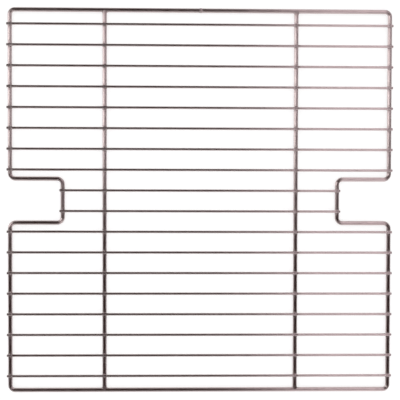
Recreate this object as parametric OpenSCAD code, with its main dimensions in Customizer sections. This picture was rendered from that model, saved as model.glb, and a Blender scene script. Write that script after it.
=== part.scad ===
// Fryer basket support rack: a flat grid of round plated steel wire that lies in the
// bottom of a fryer tank and carries the frying baskets. One heavy wire is bent into a
// closed outline with a notch in each side, two heavy rods cross it inside, and thin
// cross wires are pressed and welded on top of the frame's sides and of the rods.
// The rack lies flat: the origin is the middle of its underside, the rods run along Y,
// the cross wires along X, and the cross wires are on top.

/* [Heavy wire] */
// Diameter of the wire that the frame is bent from
frame_wire_d = 3.97; // [3.4:0.01:5]
// Diameter of the two support rods
rod_wire_d = 3.97; // [3.4:0.01:5]

/* [Frame] */
// Width of the frame, between the centrelines of its two side bars
frame_width = 350.6; // [310:0.1:400]
// Bend radius of the four outer corners, to the wire's centreline
corner_bend_r = 4.5; // [3:0.1:10]
// Depth of the notch in each side, from the side bar to the notch's inner bar
notch_depth = 48.3; // [25:0.1:65]
// Bend radius of the notches' corners, to the wire's centreline
notch_bend_r = 5; // [3:0.1:7]
// Distance from a notch bar to the next full-length cross wire, centre to centre
notch_bar_gap = 8.3; // [7:0.1:11]

/* [Support rods] */
// Distance between the two rods, centre to centre
rod_spacing = 176.8; // [120:0.1:220]
// How far a rod's end is melted into the side of the end bar
rod_set_in = 1.2; // [0.6:0.1:1.6]

/* [Cross wires] */
// Diameter of the cross wires
cross_wire_d = 2.38; // [1.9:0.01:3.1]
// Number of cross wires
wire_count = 18; // [12:1:24]
// Number of them in the middle that are short and end on the notches' inner bars
short_wire_count = 2; // [1:1:4]
// Distance between neighbouring cross wires, centre to centre
wire_pitch = 19.05; // [16:0.05:24]
// Distance from an end bar to the first cross wire, centre to centre
end_gap = 13.5; // [10:0.1:20]
// How far a cross wire stands out past the outside of the bar that it ends on
overhang = 0.55; // [0.4:0.05:4]
// Chamfer round the cut ends of the cross wires
end_chamfer = 0.3; // [0.1:0.05:0.6]

/* [Welds] */
// How deep a cross wire is pressed into the heavy wires at each crossing
set_down = 0.5; // [0.2:0.05:0.8]
// How far the round bead of weld metal at a crossing spreads past the cross wire
bead_spread = 0.6; // [0.2:0.05:0.8]
// Depth of that bead's centre below the top of the heavy wire
bead_sink = 0.7; // [0.4:0.05:1]
// Depth of the flat that the electrode leaves on top of a cross wire at each crossing
electrode_flat_depth = 0.16; // [0.05:0.01:0.3]
// Length of that flat along the cross wire
electrode_flat_len = 4.4; // [2:0.1:5]
// Radius of the fillet where a rod meets an end bar
rod_fillet_r = 1.5; // [0.6:0.1:2.5]
// How far weld metal stays below the top and above the underside of the heavy wires
weld_relief = 0.2; // [0.1:0.05:0.5]
// Length of the upset bead where the two ends of the frame wire are butt-welded
butt_bead_len = 2.4; // [1.2:0.1:4]
// Height of that bead above the wire
butt_bead_rise = 0.35; // [0.1:0.05:0.6]

/* [Hidden] */
$fn = 48;

frame_wire_r = frame_wire_d / 2;
rod_wire_r = rod_wire_d / 2;
cross_wire_r = cross_wire_d / 2;

// Heights: the tops of the frame and of the rods are level, so that the cross wires seat
// on both, and the thicker of the two lies on the ground plane.
heavy_top_z = max(frame_wire_d, rod_wire_d);
frame_z = heavy_top_z - frame_wire_r;
rod_z = heavy_top_z - rod_wire_r;
cross_z = heavy_top_z - set_down + cross_wire_r;
cross_top_z = cross_z + cross_wire_r;

// Plan: where the centrelines of the bars, rods and cross wires lie.
side_x = frame_width / 2;
inner_x = side_x - notch_depth;
rod_x = rod_spacing / 2;
end_y = (wire_count - 1) * wire_pitch / 2 + end_gap;
first_short = floor((wire_count - short_wire_count) / 2);
notch_mid_y = wire_y(first_short) - (short_wire_count - 1) * wire_pitch / 2;
notch_half = (short_wire_count + 1) * wire_pitch / 2 - notch_bar_gap;
notch_top_y = notch_mid_y + notch_half;
notch_bottom_y = notch_mid_y - notch_half;

// Corners of the frame's centreline, once round from the top right, each with its bend
// radius as third value.
frame_corners = [
    [side_x, end_y, corner_bend_r],
    [-side_x, end_y, corner_bend_r],
    [-side_x, notch_top_y, notch_bend_r],
    [-inner_x, notch_top_y, notch_bend_r],
    [-inner_x, notch_bottom_y, notch_bend_r],
    [-side_x, notch_bottom_y, notch_bend_r],
    [-side_x, -end_y, corner_bend_r],
    [side_x, -end_y, corner_bend_r],
    [side_x, notch_bottom_y, notch_bend_r],
    [inner_x, notch_bottom_y, notch_bend_r],
    [inner_x, notch_top_y, notch_bend_r],
    [side_x, notch_top_y, notch_bend_r],
];

// Cutting shapes run this far past what they cut.
past = 1;

steel = [0.76, 0.74, 0.73];
steel_light = [0.82, 0.80, 0.79];

cross_names = [
    for (i = [0 : wire_count - 1])
        str("cross_wire_", i < 9 ? "0" : "", i + 1)
];

// Place of a cross wire along Y: the first is nearest the top bar.
function wire_y(i) = ((wire_count - 1) / 2 - i) * wire_pitch;

function is_short(i) = i >= first_short && i < first_short + short_wire_count;

// Centreline of the bar that both ends of a cross wire are welded to.
function end_bar_x(i) = is_short(i) ? inner_x : side_x;

function plan(corner) = [corner[0], corner[1]];

function heading(a, b) = (plan(b) - plan(a)) / norm(plan(b) - plan(a));

// Straight round bar between two points of the plan, centred on z = 0.
module bar(from, to, r) {
    run = to - from;
    translate([from[0], from[1], 0])
        rotate([0, 0, atan2(run[1], run[0])])
            rotate([0, 90, 0])
                cylinder(h = norm(run), r = r);
}

// Right-angled bend at a corner, for a wire that comes in along way_in and goes on along
// way_out.
module bend(corner, way_in, way_out, r) {
    bend_r = corner[2];
    turns_left = way_in[0] * way_out[1] - way_in[1] * way_out[0] > 0;
    start = turns_left ? -way_out : way_in;
    translate(concat(plan(corner) + bend_r * (way_out - way_in), [0]))
        rotate([0, 0, atan2(start[1], start[0])])
            rotate_extrude(angle = 90)
                translate([bend_r, 0])
                    circle(r = r);
}

// A closed wire bent at each corner in turn.
module bent_loop(corners, r) {
    count = len(corners);
    for (i = [0 : count - 1]) {
        before = corners[(i + count - 1) % count];
        here = corners[i];
        after = corners[(i + 1) % count];
        way_in = heading(before, here);
        way_out = heading(here, after);
        bend(here, way_in, way_out, r);
        bar(plan(here) + here[2] * way_out, plan(after) - after[2] * way_out, r);
    }
}

// Upset bead of the frame's butt weld: a short barrel round the wire with sloped flanks,
// ground away under the wire so that the rack lies flat.
module butt_bead() {
    flank = butt_bead_len / 3;
    bead_r = frame_wire_r + butt_bead_rise;
    intersection() {
        translate([-butt_bead_len / 2, 0, 0])
            rotate([0, 90, 0]) {
                cylinder(h = flank, r1 = frame_wire_r, r2 = bead_r);
                translate([0, 0, flank])
                    cylinder(h = flank, r = bead_r);
                translate([0, 0, 2 * flank])
                    cylinder(h = flank, r1 = bead_r, r2 = frame_wire_r);
            }
        translate([-butt_bead_len, -frame_wire_d, weld_relief - frame_wire_r])
            cube([2 * butt_bead_len, 2 * frame_wire_d, 2 * frame_wire_d]);
    }
}

module frame_wire() {
    color(steel)
        translate([0, 0, frame_z]) {
            bent_loop(frame_corners, frame_wire_r);
            translate([0, end_y, 0])
                butt_bead();
        }
}

// Concave ring of weld metal round a rod's end. The rod points along +Z into the bar,
// whose side is at z = 0, and the ring runs on by foot into the bar.
module fillet_ring(wire_r, fillet_r, foot) {
    rotate_extrude()
        difference() {
            translate([0, -fillet_r])
                square([wire_r + fillet_r, fillet_r + foot]);
            translate([wire_r + fillet_r, -fillet_r])
                circle(r = fillet_r);
        }
}

// Straight rod with a fillet of weld metal at each end, both coped to the round side of
// the end bar that they are welded to.
module support_rod(x) {
    bar_side_y = end_y - frame_wire_r;
    color(steel)
        difference() {
            union() {
                translate([0, 0, rod_z])
                    bar([x, -bar_side_y - rod_set_in], [x, bar_side_y + rod_set_in], rod_wire_r);
                intersection() {
                    for (side = [-1, 1])
                        translate([x, side * bar_side_y, rod_z])
                            rotate([-90 * side, 0, 0])
                                fillet_ring(rod_wire_r, rod_fillet_r, rod_set_in);
                    translate([x - frame_width, -end_y, weld_relief])
                        cube([2 * frame_width, 2 * end_y, heavy_top_z - 2 * weld_relief]);
                }
            }
            for (side = [-1, 1])
                translate([0, side * end_y, frame_z])
                    bar([-side_x, 0], [side_x, 0], frame_wire_r);
        }
}

// Cross wire with its two cut ends chamfered.
module cut_wire(half_length) {
    translate([-half_length, 0, 0])
        rotate([0, 90, 0]) {
            cylinder(h = end_chamfer, r1 = cross_wire_r - end_chamfer, r2 = cross_wire_r);
            translate([0, 0, end_chamfer])
                cylinder(h = 2 * (half_length - end_chamfer), r = cross_wire_r);
            translate([0, 0, 2 * half_length - end_chamfer])
                cylinder(h = end_chamfer, r1 = cross_wire_r, r2 = cross_wire_r - end_chamfer);
        }
}

// Round bead of weld metal at a crossing. It stands on the top and the flanks of the
// heavy wire and fills the corner under the cross wire.
module crossing_bead() {
    foot_r = cross_wire_r + bead_spread;
    translate([0, 0, heavy_top_z - bead_sink])
        sphere(r = sqrt(foot_r * foot_r + bead_sink * bead_sink));
}

module cross_wire(i) {
    bar_x = end_bar_x(i);
    half_length = bar_x + frame_wire_r + overhang;
    // Each crossing: place along X, radius of the heavy wire there and its height.
    crossings = [
        [-bar_x, frame_wire_r, frame_z],
        [-rod_x, rod_wire_r, rod_z],
        [rod_x, rod_wire_r, rod_z],
        [bar_x, frame_wire_r, frame_z],
    ];
    flat_width = 2 * cross_wire_d;
    color(steel_light)
        translate([0, wire_y(i), 0])
            difference() {
                union() {
                    translate([0, 0, cross_z])
                        cut_wire(half_length);
                    for (crossing = crossings)
                        translate([crossing[0], 0, 0])
                            crossing_bead();
                }
                for (crossing = crossings) {
                    translate([0, 0, crossing[2]])
                        bar(
                            [crossing[0], -wire_pitch / 2],
                            [crossing[0], wire_pitch / 2],
                            crossing[1]
                        );
                    translate([
                        crossing[0] - electrode_flat_len / 2,
                        -flat_width / 2,
                        cross_top_z - electrode_flat_depth
                    ])
                        cube([electrode_flat_len, flat_width, past]);
                }
            }
}

frame_wire();
support_rod(-rod_x);  // support_rod_left
support_rod(rod_x);  // support_rod_right
for (i = [0 : wire_count - 1])
    cross_wire(i);
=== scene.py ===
"""Looks of the fryer basket support rack: round plated steel wire, bent, welded and plated."""

import math

import bpy
import numpy as np
from mathutils import Matrix


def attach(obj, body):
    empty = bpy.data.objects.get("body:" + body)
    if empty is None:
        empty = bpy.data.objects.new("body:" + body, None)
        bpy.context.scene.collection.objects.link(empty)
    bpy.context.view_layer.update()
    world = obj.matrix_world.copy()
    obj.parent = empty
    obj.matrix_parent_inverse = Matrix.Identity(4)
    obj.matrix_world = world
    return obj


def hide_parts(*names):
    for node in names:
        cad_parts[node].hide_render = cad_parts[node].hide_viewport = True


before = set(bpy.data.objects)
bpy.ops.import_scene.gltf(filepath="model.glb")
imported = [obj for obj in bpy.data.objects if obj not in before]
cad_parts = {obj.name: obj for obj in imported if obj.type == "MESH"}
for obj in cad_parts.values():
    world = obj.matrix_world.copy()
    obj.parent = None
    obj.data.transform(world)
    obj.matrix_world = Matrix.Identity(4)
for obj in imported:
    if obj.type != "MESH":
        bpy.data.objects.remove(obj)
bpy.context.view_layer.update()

MM = 0.001

# ---- Sizes of the part, in millimetres, as the CAD has them ----
HEAVY_R = 3.97 / 2
CROSS_R = 2.38 / 2
SIDE_X = 350.6 / 2
NOTCH_DEPTH = 48.3
INNER_X = SIDE_X - NOTCH_DEPTH
ROD_X = 176.8 / 2
PITCH = 19.05
WIRES = 18
SHORT_WIRES = (8, 9)
END_Y = (WIRES - 1) * PITCH / 2 + 13.5
NOTCH_Y = 1.5 * PITCH - 8.3
CORNER_BEND = 4.5
NOTCH_BEND = 5.0
OVERHANG = 0.55
SET_DOWN = 0.5
CROSS_Z = 2 * HEAVY_R - SET_DOWN + CROSS_R
CROSS_TOP = CROSS_Z + CROSS_R
FLAT_DEPTH = 0.16
FLAT_HALF = 2.2
CHAMFER = 0.3
BUTT_RISE = 0.35
BUTT_HALF = 1.2

# ---- Make of the surfaces that the CAD leaves plain ----
HEAVY_SIDES = 40
CROSS_SIDES = 40
BEAD_REACH = 0.85
TEE_REACH = 1.5
FOOT_SINK = 0.02
ROOT_SINK = 0.13
UNDER_FLAT = 0.07
BEND_SQUASH = 0.08


def wire_y(i):
    return ((WIRES - 1) / 2 - i) * PITCH


def wave(p, seed, scale):
    """Smooth seeded unevenness between about -1 and 1, for points p in millimetres."""
    rng = np.random.default_rng(seed)
    total = np.zeros(p.shape[:-1])
    for k in range(6):
        way = rng.normal(size=3)
        way *= (0.7 + 0.35 * k) / (scale * np.linalg.norm(way))
        total += np.sin(2 * math.pi * (p @ way) + rng.uniform(0, 6.28)) / (1 + 0.4 * k)
    return total / 2.6


def ease(t):
    t = np.clip(t, 0, 1)
    return t * t * (3 - 2 * t)


def smooth_min(a, b, k):
    """The lower of a and b, rounded over where they lie within k of each other."""
    h = np.maximum(k - np.abs(a - b), 0) / np.maximum(k, 1e-6)
    return np.minimum(a, b) - h * h * k / 4


def unit(v):
    return v / np.maximum(np.linalg.norm(v, axis=-1, keepdims=True), 1e-9)


class Surface:
    """Gathers closed grids of points [ring, side, xyz] in millimetres into one mesh. Each grid
    has UVs of its own: u runs round the section and v along it, both in metres."""

    def __init__(self):
        self.verts, self.faces, self.uvs, self.welds = [], [], [], []
        self.count = 0

    def add(self, grid, along, welds, loop=False):
        rings, sides, _ = grid.shape
        i = np.arange(rings if loop else rings - 1)[:, None]
        j = np.arange(sides)[None, :]
        i2, j2 = (i + 1) % rings, (j + 1) % sides
        quads = np.stack([i * sides + j, i * sides + j2, i2 * sides + j2, i2 * sides + j], axis=-1)
        quads = quads.reshape(-1, 4)
        girth = np.linalg.norm(np.roll(grid[0], -1, axis=0) - grid[0], axis=-1).mean() * MM
        step = np.append(along, 2 * along[-1] - along[-2]) * MM
        u = np.broadcast_to(j * girth, (len(i), sides))
        v, v2 = (np.broadcast_to(step[k], (len(i), sides)) for k in (i, i + 1))
        uv = np.stack([u, v, u + girth, v, u + girth, v2, u, v2], axis=-1).reshape(-1, 4, 2)
        middle = grid.mean(axis=(0, 1))
        a, b, c, d = np.moveaxis((grid - middle).reshape(-1, 3)[quads], 1, 0)
        inside_out = np.sum(np.cross(a, b) * c) + np.sum(np.cross(a, c) * d) < 0
        way = -1 if inside_out else 1
        self.faces += (quads[:, ::way] + self.count).tolist()
        self.uvs.append(uv[:, ::way].reshape(-1, 2))
        if not loop:
            for ring, turn in ((0, -way), (rings - 1, way)):
                cap = (ring * sides + np.arange(sides))[::turn]
                flat = grid.reshape(-1, 3)[cap]
                self.faces.append((cap + self.count).tolist())
                self.uvs.append(np.stack([flat[:, 1] + flat[:, 0], flat[:, 2]], axis=-1) * MM)
        self.verts.append(grid.reshape(-1, 3) * MM)
        self.welds.append(welds.reshape(-1))
        self.count += rings * sides

    def piece(self, name, slot, material, *nodes):
        mesh = bpy.data.meshes.new(name)
        mesh.from_pydata(np.concatenate(self.verts).tolist(), [], self.faces)
        uv = mesh.uv_layers.new(name="wire")
        uv.data.foreach_set("uv", np.concatenate(self.uvs).ravel())
        spot = mesh.attributes.new("weld", "FLOAT", "POINT")
        spot.data.foreach_set("value", np.concatenate(self.welds).astype(np.float32))
        mesh.polygons.foreach_set("use_smooth", [True] * len(mesh.polygons))
        mesh.materials.append(material)
        mesh.validate()
        made = bpy.data.objects.new(name, mesh)
        bpy.context.scene.collection.objects.link(made)
        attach(made, "root")
        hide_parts(*nodes)


def with_caps(grid, welds, along, seed):
    """The grid with its two ends closed by rings that shrink to the middle of a sheared face."""
    fronts, backs = [], []
    for ring, keep, way in ((grid[0], fronts, 1), (grid[-1], backs, -1)):
        middle = ring.mean(axis=0)
        facing = way * unit(np.cross(ring[len(ring) // 4] - middle, ring[0] - middle))
        for share in (0.92, 0.8, 0.62, 0.42, 0.22, 0.06):
            small = middle + (ring - middle) * share
            rough = 0.03 * (1 - share) * (1 + 1.5 * wave(small, seed, 1.1))
            keep.append(small + rough[:, None] * facing)
    grid = np.concatenate([np.array(fronts[::-1]), grid, np.array(backs)])
    plain = np.full((len(fronts), grid.shape[1]), 0.5)
    welds = np.concatenate([plain, welds, plain])
    lead = 0.1 * np.arange(1, len(fronts) + 1)
    along = np.concatenate([along[0] - lead[::-1], along, along[-1] + lead])
    return grid, welds, along


def fillet(seam, n1, n2, onto1, onto2, reach1, reach2, steps=9):
    """Weld metal in the corner along a seam between two round wires. Each section is a closed
    loop: it leaves the one wire, runs out on the other, tangent to both, and goes back inside
    them. Points [seam, step, xyz]."""
    run = unit(np.cross(n1, n2))
    d1 = np.cross(run, n1)
    d1 *= np.sign(np.sum(d1 * n2, axis=-1, keepdims=True))
    d2 = np.cross(run, n2)
    d2 *= np.sign(np.sum(d2 * n1, axis=-1, keepdims=True))
    a = onto1(seam + reach1[:, None] * d1, -FOOT_SINK)
    b = onto2(seam + reach2[:, None] * d2, -FOOT_SINK)
    knee = seam + 0.1 * ((a + b) / 2 - seam)
    t = np.linspace(0, 1, steps)[None, :, None]
    curve = (1 - t) ** 2 * a[:, None] + 2 * t * (1 - t) * knee[:, None] + t ** 2 * b[:, None]
    a_under = onto1(seam + (reach1 + ROOT_SINK)[:, None] * d1, -ROOT_SINK)
    b_under = onto2(seam + (reach2 + ROOT_SINK)[:, None] * d2, -ROOT_SINK)
    inside = seam - 0.35 * unit(n1 + n2)
    return np.concatenate([a_under[:, None], curve, b_under[:, None], inside[:, None]], axis=1)


def onto_wire(axis, through, r):
    """Moves points onto a round wire along the x or y axis (0 or 1) through a point."""

    def move(p, lift):
        off = p - np.array(through)
        off[:, axis] = 0
        return p + unit(off) * (r + lift) - off

    return move


# ---- Materials ----
def node(tree, kind, place, **values):
    made = tree.nodes.new(kind)
    made.location = place
    for key, value in values.items():
        if hasattr(made, key):
            setattr(made, key, value)
        else:
            made.inputs[key].default_value = value
    return made


def plated_steel(name, base, dull, streak_scale):
    """Bright plated wire: fine drawing lines along it, cloudy plating, duller welds."""
    material = bpy.data.materials.new(name)
    material.use_nodes = True
    tree = material.node_tree
    tree.nodes.clear()
    link = tree.links.new
    out = node(tree, "ShaderNodeOutputMaterial", (900, 0))
    steel = node(tree, "ShaderNodeBsdfPrincipled", (600, 0))
    link(steel.outputs["BSDF"], out.inputs["Surface"])
    steel.inputs["Metallic"].default_value = 1.0
    steel.inputs["Anisotropic"].default_value = 0.95
    tangent = node(tree, "ShaderNodeTangent", (300, -400), direction_type="UV_MAP", uv_map="wire")
    link(tangent.outputs["Tangent"], steel.inputs["Tangent"])

    place = node(tree, "ShaderNodeTexCoord", (-1300, 0))
    wire = node(tree, "ShaderNodeUVMap", (-1300, -300), uv_map="wire")
    stretch = node(tree, "ShaderNodeMapping", (-1100, -300))
    stretch.inputs["Scale"].default_value = (streak_scale, streak_scale * 0.006, 1)
    link(wire.outputs["UV"], stretch.inputs["Vector"])
    streaks = node(tree, "ShaderNodeTexNoise", (-880, -300))
    streaks.inputs["Scale"].default_value = 1.0
    streaks.inputs["Detail"].default_value = 4.0
    streaks.inputs["Roughness"].default_value = 0.65
    link(stretch.outputs["Vector"], streaks.inputs["Vector"])
    clouds = node(tree, "ShaderNodeTexNoise", (-880, 0))
    clouds.inputs["Scale"].default_value = 75.0
    clouds.inputs["Detail"].default_value = 5.0
    link(place.outputs["Object"], clouds.inputs["Vector"])
    grain = node(tree, "ShaderNodeTexNoise", (-880, 300))
    grain.inputs["Scale"].default_value = 2600.0
    grain.inputs["Detail"].default_value = 3.0
    link(place.outputs["Object"], grain.inputs["Vector"])
    weld = node(tree, "ShaderNodeAttribute", (-880, -600), attribute_name="weld")

    tone = node(tree, "ShaderNodeValToRGB", (-620, 0))
    tone.color_ramp.elements[0].position = 0.32
    tone.color_ramp.elements[0].color = (*[c * 0.86 for c in base], 1)
    tone.color_ramp.elements[1].position = 0.68
    tone.color_ramp.elements[1].color = (*base, 1)
    link(clouds.outputs["Fac"], tone.inputs["Fac"])
    lines = node(tree, "ShaderNodeMixRGB", (-350, 0), blend_type="MULTIPLY")
    lines.inputs["Fac"].default_value = 0.22
    link(tone.outputs["Color"], lines.inputs["Color1"])
    link(streaks.outputs["Fac"], lines.inputs["Color2"])
    spots = node(tree, "ShaderNodeMixRGB", (-100, 0), blend_type="MIX")
    spots.inputs["Color2"].default_value = (*dull, 1)
    share = node(tree, "ShaderNodeMath", (-350, -250), operation="MULTIPLY")
    share.inputs[1].default_value = 0.6
    link(weld.outputs["Fac"], share.inputs[0])
    link(share.outputs["Value"], spots.inputs["Fac"])
    link(lines.outputs["Color"], spots.inputs["Color1"])
    link(spots.outputs["Color"], steel.inputs["Base Color"])

    rough = node(tree, "ShaderNodeMapRange", (-350, -450))
    rough.inputs["From Min"].default_value = 0.3
    rough.inputs["From Max"].default_value = 0.7
    rough.inputs["To Min"].default_value = 0.30
    rough.inputs["To Max"].default_value = 0.38
    link(clouds.outputs["Fac"], rough.inputs["Value"])
    rougher = node(tree, "ShaderNodeMath", (-100, -450), operation="MULTIPLY_ADD")
    rougher.inputs[1].default_value = 0.3
    link(weld.outputs["Fac"], rougher.inputs[0])
    link(rough.outputs["Result"], rougher.inputs[2])
    link(rougher.outputs["Value"], steel.inputs["Roughness"])

    relief = node(tree, "ShaderNodeMixRGB", (-350, -750), blend_type="MIX")
    relief.inputs["Fac"].default_value = 0.35
    link(streaks.outputs["Fac"], relief.inputs["Color1"])
    link(grain.outputs["Fac"], relief.inputs["Color2"])
    bump = node(tree, "ShaderNodeBump", (100, -700))
    bump.inputs["Strength"].default_value = 0.35
    bump.inputs["Distance"].default_value = 0.00004
    link(relief.outputs["Color"], bump.inputs["Height"])
    link(bump.outputs["Normal"], steel.inputs["Normal"])
    return material


HEAVY_TONE, HEAVY_DULL = (0.74, 0.64, 0.635), (0.78, 0.69, 0.685)
CROSS_TONE, CROSS_DULL = (0.77, 0.67, 0.665), (0.82, 0.73, 0.725)
heavy_steel = plated_steel("heavy_wire_plating", HEAVY_TONE, HEAVY_DULL, 8000)
cross_steel = plated_steel("cross_wire_plating", CROSS_TONE, CROSS_DULL, 10000)


# ---- Frame wire ----
def frame_path():
    """Centreline of the frame, once round: points, directions, distances and bend share."""
    corners = [
        (SIDE_X, END_Y, CORNER_BEND),
        (-SIDE_X, END_Y, CORNER_BEND),
        (-SIDE_X, NOTCH_Y, NOTCH_BEND),
        (-INNER_X, NOTCH_Y, NOTCH_BEND),
        (-INNER_X, -NOTCH_Y, NOTCH_BEND),
        (-SIDE_X, -NOTCH_Y, NOTCH_BEND),
        (-SIDE_X, -END_Y, CORNER_BEND),
        (SIDE_X, -END_Y, CORNER_BEND),
        (SIDE_X, -NOTCH_Y, NOTCH_BEND),
        (INNER_X, -NOTCH_Y, NOTCH_BEND),
        (INNER_X, NOTCH_Y, NOTCH_BEND),
        (SIDE_X, NOTCH_Y, NOTCH_BEND),
    ]
    points, ways, bends = [], [], []
    count = len(corners)
    for n in range(count):
        before = np.array(corners[n - 1][:2])
        here = np.array(corners[n][:2])
        after = np.array(corners[(n + 1) % count][:2])
        r = corners[n][2]
        way_in = (here - before) / np.linalg.norm(here - before)
        way_out = (after - here) / np.linalg.norm(after - here)
        for a in np.linspace(0, math.pi / 2, 17)[:-1]:
            centre = here + r * (way_out - way_in)
            points.append(centre - r * way_out * math.cos(a) + r * way_in * math.sin(a))
            ways.append(way_in * math.cos(a) + way_out * math.sin(a))
            bends.append(math.sin(2 * a) ** 2)
        start, stop = here + r * way_out, after - corners[(n + 1) % count][2] * way_out
        length = np.linalg.norm(stop - start)
        marks = np.linspace(0, length, max(3, int(length / 2.5)), endpoint=False)
        if n == 0:
            middle = length / 2
            fine = np.linspace(-2.2, 2.2, 37) + middle
            marks = np.sort(np.concatenate([marks[np.abs(marks - middle) > 2.3], fine]))
        for m in marks:
            points.append(start + way_out * m)
            ways.append(way_out)
            bends.append(0.0)
    points, ways = np.array(points), np.array(ways)
    steps = np.linalg.norm(np.diff(points, axis=0, append=points[:1]), axis=1)
    along = np.concatenate([[0], np.cumsum(steps)[:-1]])
    return points, ways, along, np.array(bends)


def heavy_section(points, ways, sides, height):
    """Ring points of a wire in plan: unit directions and centres for each ring and side."""
    angle = np.arange(sides) / sides * 2 * math.pi
    across = np.stack([ways[:, 1], -ways[:, 0], np.zeros(len(ways))], axis=-1)
    up = np.array([0.0, 0.0, 1.0])
    out = np.cos(angle)[None, :, None] * up + np.sin(angle)[None, :, None] * across[:, None, :]
    centre = np.concatenate([points, np.full((len(points), 1), height)], axis=1)
    return angle, out, centre[:, None, :]


def crossing_nearness(grid, places, reach):
    """How near each point lies to the nearest crossing in plan, from 0 to 1."""
    near = np.zeros(grid.shape[:2])
    for x, y in places:
        d = np.hypot(grid[..., 0] - x, grid[..., 1] - y)
        near = np.maximum(near, ease(1 - d / reach))
    return near


def under_flats(grid, places):
    """Small flats that the lower electrode leaves under each crossing."""
    near = crossing_nearness(grid, places, 4.0)
    floor = UNDER_FLAT * near
    grid[..., 2] = -smooth_min(-grid[..., 2], -floor, 0.05)
    return grid


side_crossings = [
    (s * (INNER_X if i in SHORT_WIRES else SIDE_X), wire_y(i)) for i in range(WIRES) for s in (-1, 1)
]


def build_frame_wire():
    points, ways, along, bends = frame_path()
    angle, out, centre = heavy_section(points, ways, HEAVY_SIDES, HEAVY_R)
    grid = centre + HEAVY_R * out
    radius = np.full(grid.shape[:2], HEAVY_R)
    radius -= BEND_SQUASH * bends[:, None] * np.abs(np.sin(angle))[None, :] ** 3
    bead = ease(1 - np.abs(grid[..., 0]) / (BUTT_HALF * 1.35)) * (grid[..., 1] > END_Y - 5)
    above = ease((np.cos(angle)[None, :] + 0.9) / 0.7)
    radius += BUTT_RISE * bead * above * (0.8 + 0.35 * wave(grid, 5, 2.2))
    grid = under_flats(centre + radius[..., None] * out, side_crossings)
    weld = np.maximum(crossing_nearness(grid, side_crossings, 5.0), bead)
    surface = Surface()
    surface.add(grid, along, weld, loop=True)
    surface.piece("frame_wire_plated", "heavy_wire", heavy_steel, "frame_wire")


def tee_fillets(surface, x, end):
    """Weld metal at both sides of a rod's end, where it meets the end bar at end * END_Y."""
    turn = np.radians(np.linspace(9, 171, 37))
    sine, cosine, zero = np.sin(turn), np.cos(turn), 0 * turn
    corner = np.array([x, end * END_Y, HEAVY_R])
    rod = onto_wire(1, corner, HEAVY_R)
    bar = onto_wire(0, corner, HEAVY_R)
    for side in (-1, 1):
        seam = corner + HEAVY_R * np.stack([side * sine, -end * sine, cosine], axis=-1)
        n1 = np.stack([side * sine, zero, cosine], axis=-1)
        n2 = np.stack([zero, -end * sine, cosine], axis=-1)
        uneven = 1 + 0.16 * wave(seam, int(131 + 7 * side + 3 * end + x), 2.4)
        reach = 0.05 + TEE_REACH * sine ** 1.6 * uneven
        grid = fillet(seam, n1, n2, rod, bar, reach, 0.9 * reach)
        surface.add(grid, 0.12 * np.arange(len(turn)), np.ones(grid.shape[:2]))


def build_rod(side, node_name):
    x = side * ROD_X
    stop = END_Y - 0.1
    near = END_Y - 8
    between = np.linspace(-near, near, 150)[1:-1]
    ys = np.concatenate([np.linspace(-stop, -near, 14), between, np.linspace(near, stop, 14)])
    points = np.stack([np.full_like(ys, x), ys], axis=-1)
    ways = np.tile([0.0, 1.0], (len(ys), 1))
    angle, out, centre = heavy_section(points, ways, HEAVY_SIDES, HEAVY_R)
    crossings = [(x, wire_y(i)) for i in range(WIRES)]
    grid = under_flats(centre + HEAVY_R * out, crossings)
    tee = ease((np.abs(grid[..., 1]) - (END_Y - HEAVY_R - 3.0)) / 2.5)
    weld = np.maximum(crossing_nearness(grid, crossings, 5.0), tee)
    surface = Surface()
    surface.add(grid, ys - ys[0], weld)
    for end in (-1, 1):
        tee_fillets(surface, x, end)
    surface.piece(node_name + "_plated", "heavy_wire", heavy_steel, node_name)


def crossing_bead(surface, x, y, seed):
    """Weld metal all round a crossing, in the corner between the cross wire and the heavy wire."""
    turn = np.linspace(0, 2 * math.pi, 56, endpoint=False)
    zero = 0 * turn
    sx = math.sqrt(HEAVY_R ** 2 - (CROSS_Z - CROSS_R - HEAVY_R) ** 2) * np.cos(turn)
    sz = HEAVY_R + np.sqrt(HEAVY_R ** 2 - sx ** 2)
    sy = np.sign(np.sin(turn)) * np.sqrt(np.maximum(CROSS_R ** 2 - (sz - CROSS_Z) ** 2, 0))
    seam = np.stack([x + sx, y + sy, sz], axis=-1)
    n1 = np.stack([zero, sy, sz - CROSS_Z], axis=-1) / CROSS_R
    n2 = np.stack([sx, zero, sz - HEAVY_R], axis=-1) / HEAVY_R
    reach = BEAD_REACH * (1 + 0.3 * wave(seam, seed, 2.6))
    onto_cross = onto_wire(0, (0, y, CROSS_Z), CROSS_R)
    onto_heavy = onto_wire(1, (x, 0, HEAVY_R), HEAVY_R)
    grid = fillet(seam, n1, n2, onto_cross, onto_heavy, 0.8 * reach, reach)
    surface.add(grid, 0.12 * np.arange(len(turn)), np.ones(grid.shape[:2]), loop=True)


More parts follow.
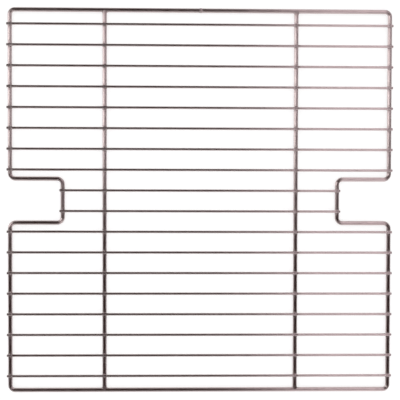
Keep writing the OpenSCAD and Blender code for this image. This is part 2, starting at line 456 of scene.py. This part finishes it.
def build_cross_wire(i):
    bar_x = INNER_X if i in SHORT_WIRES else SIDE_X
    half = bar_x + HEAVY_R + OVERHANG
    crossings = [-bar_x, -ROD_X, ROD_X, bar_x]
    marks = [np.linspace(-half + CHAMFER, half - CHAMFER, int(half / 4))]
    for c in crossings:
        marks[0] = marks[0][np.abs(marks[0] - c) > 4.4]
        local = np.linspace(c - 4.2, c + 4.2, 33)
        marks.append(local[np.abs(local) < half - CHAMFER])
    end = half - CHAMFER + CHAMFER * np.sin(np.linspace(0, math.pi / 2, 6))
    xs = np.unique(np.round(np.concatenate(marks + [end, -end]), 4))
    past = np.clip(np.abs(xs) - (half - CHAMFER), 0, CHAMFER) / CHAMFER
    own = CROSS_R - CHAMFER * (1 - np.sqrt(1 - past ** 2))
    angle = np.arange(CROSS_SIDES) / CROSS_SIDES * 2 * math.pi
    out = np.stack([np.zeros_like(angle), -np.sin(angle), np.cos(angle)], axis=-1)[None]
    y = wire_y(i)
    centre = np.stack([xs, np.full_like(xs, y), np.full_like(xs, CROSS_Z)], axis=-1)[:, None]
    grid = centre + own[:, None, None] * out
    near = np.max([ease((FLAT_HALF + 1.1 - np.abs(xs - c)) / 2.2) for c in crossings], axis=0)
    grid[..., 1] += (grid[..., 1] - y) * 0.03 * near[:, None]
    limit = CROSS_TOP + 0.05 - (0.05 + FLAT_DEPTH) * near[:, None] + 0.01 * wave(grid, 40 + i, 1.4)
    grid[..., 2] = smooth_min(grid[..., 2], limit, 0.08)
    weld = crossing_nearness(grid, [(c, y) for c in crossings], 4.2)
    surface = Surface()
    grid, weld, along = with_caps(grid, weld, xs - xs[0], 300 + i)
    surface.add(grid, along, weld)
    for n, c in enumerate(crossings):
        crossing_bead(surface, c, y, 500 + 10 * i + n)
    name = "cross_wire_%02d" % (i + 1)
    surface.piece(name + "_plated", "cross_wire", cross_steel, name)


build_frame_wire()
build_rod(-1, "support_rod_left")
build_rod(1, "support_rod_right")
for wire in range(WIRES):
    build_cross_wire(wire)


# ---- Floor, studio and light ----
def card(name, x, y, height, colour, strength):
    """A flat staged card over the rack, which only the gloss of the plating sees."""
    corners = [(x[0], y[0], height), (x[0], y[1], height), (x[1], y[1], height), (x[1], y[0], height)]
    mesh = bpy.data.meshes.new(name)
    mesh.from_pydata(corners, [], [[0, 1, 2, 3]])
    material = bpy.data.materials.new(name)
    material.use_nodes = True
    tree = material.node_tree
    tree.nodes.clear()
    out = node(tree, "ShaderNodeOutputMaterial", (300, 0))
    glow = node(tree, "ShaderNodeEmission", (0, 0))
    glow.inputs["Color"].default_value = (*colour, 1)
    glow.inputs["Strength"].default_value = strength
    tree.links.new(glow.outputs["Emission"], out.inputs["Surface"])
    mesh.materials.append(material)
    made = bpy.data.objects.new(name, mesh)
    bpy.context.scene.collection.objects.link(made)
    made.visible_camera = False
    made.visible_shadow = False
    made.visible_diffuse = False


def white_floor():
    """Plain pale floor that keeps the rack's shadow and shows white to the camera and the gloss."""
    mesh = bpy.data.meshes.new("floor")
    half = 14
    corners = [(-half, -half, 0), (half, -half, 0), (half, half, 0), (-half, half, 0)]
    mesh.from_pydata(corners, [], [[0, 1, 2, 3]])
    material = bpy.data.materials.new("floor")
    material.use_nodes = True
    tree = material.node_tree
    tree.nodes.clear()
    link = tree.links.new
    out = node(tree, "ShaderNodeOutputMaterial", (600, 0))
    add = node(tree, "ShaderNodeAddShader", (400, 0))
    paint = node(tree, "ShaderNodeBsdfDiffuse", (150, 100))
    paint.inputs["Color"].default_value = (0.45, 0.45, 0.45, 1)
    lift = node(tree, "ShaderNodeEmission", (150, -100))
    path = node(tree, "ShaderNodeLightPath", (-500, -100))
    either = node(tree, "ShaderNodeMath", (-300, -100), operation="MAXIMUM")
    any_way = node(tree, "ShaderNodeMath", (-150, -100), operation="MAXIMUM")
    share = node(tree, "ShaderNodeMath", (0, -100), operation="MULTIPLY")
    share.inputs[1].default_value = 0.64
    mirror = node(tree, "ShaderNodeMath", (150, -300), operation="MULTIPLY_ADD")
    mirror.inputs[1].default_value = 0.2
    link(path.outputs["Is Camera Ray"], either.inputs[0])
    link(path.outputs["Is Glossy Ray"], either.inputs[1])
    link(either.outputs["Value"], any_way.inputs[0])
    link(path.outputs["Is Transmission Ray"], any_way.inputs[1])
    link(any_way.outputs["Value"], share.inputs[0])
    link(path.outputs["Is Glossy Ray"], mirror.inputs[0])
    link(share.outputs["Value"], mirror.inputs[2])
    link(mirror.outputs["Value"], lift.inputs["Strength"])
    link(paint.outputs["BSDF"], add.inputs[0])
    link(lift.outputs["Emission"], add.inputs[1])
    link(add.outputs["Shader"], out.inputs["Surface"])
    mesh.materials.append(material)
    floor = bpy.data.objects.new("floor", mesh)
    bpy.context.scene.collection.objects.link(floor)


def white_world():
    world = bpy.data.worlds.new("studio")
    bpy.context.scene.world = world
    world.use_nodes = True
    background = world.node_tree.nodes["Background"]
    background.inputs["Color"].default_value = (1, 1, 1, 1)
    background.inputs["Strength"].default_value = 1.0


white_floor()
white_world()
card("ceiling", (-9.0, 9.0), (-2.3, 9.0), 1.5, (0.022, 0.006, 0.003), 1.0)
card("right_light", (0.31, 1.1), (0.15, 2.6), 1.49, (1.0, 0.88, 0.92), 1.5)
card("right_low_light", (0.31, 1.1), (-2.3, -0.8), 1.49, (1.0, 0.88, 0.92), 1.4)
card("left_light", (-4.0, -0.8), (0.08, 0.95), 1.49, (1.0, 0.96, 0.96), 3.0)


# ---- Camera: the photograph's viewing angle and framing ----
def camera():
    tilt_x, tilt_y, roll = 0.0189610, 0.0203562, -0.0022932
    turn = Matrix.Rotation(roll, 3, "Z") @ Matrix.Rotation(tilt_y, 3, "Y") @ Matrix.Rotation(tilt_x, 3, "X")
    shift = Matrix.Translation((0.23989 * MM, -0.84079 * MM, -0.700))
    view = shift @ turn.to_4x4()
    data = bpy.data.cameras.new("camera")
    data.sensor_width = 36
    data.lens = 753.614 / 400 * 36
    data.clip_start = 0.01
    data.clip_end = 100
    made = bpy.data.objects.new("camera", data)
    bpy.context.scene.collection.objects.link(made)
    made.matrix_world = view.inverted()
    bpy.context.scene.camera = made


camera()
bpy.context.scene.view_settings.view_transform = "Standard"
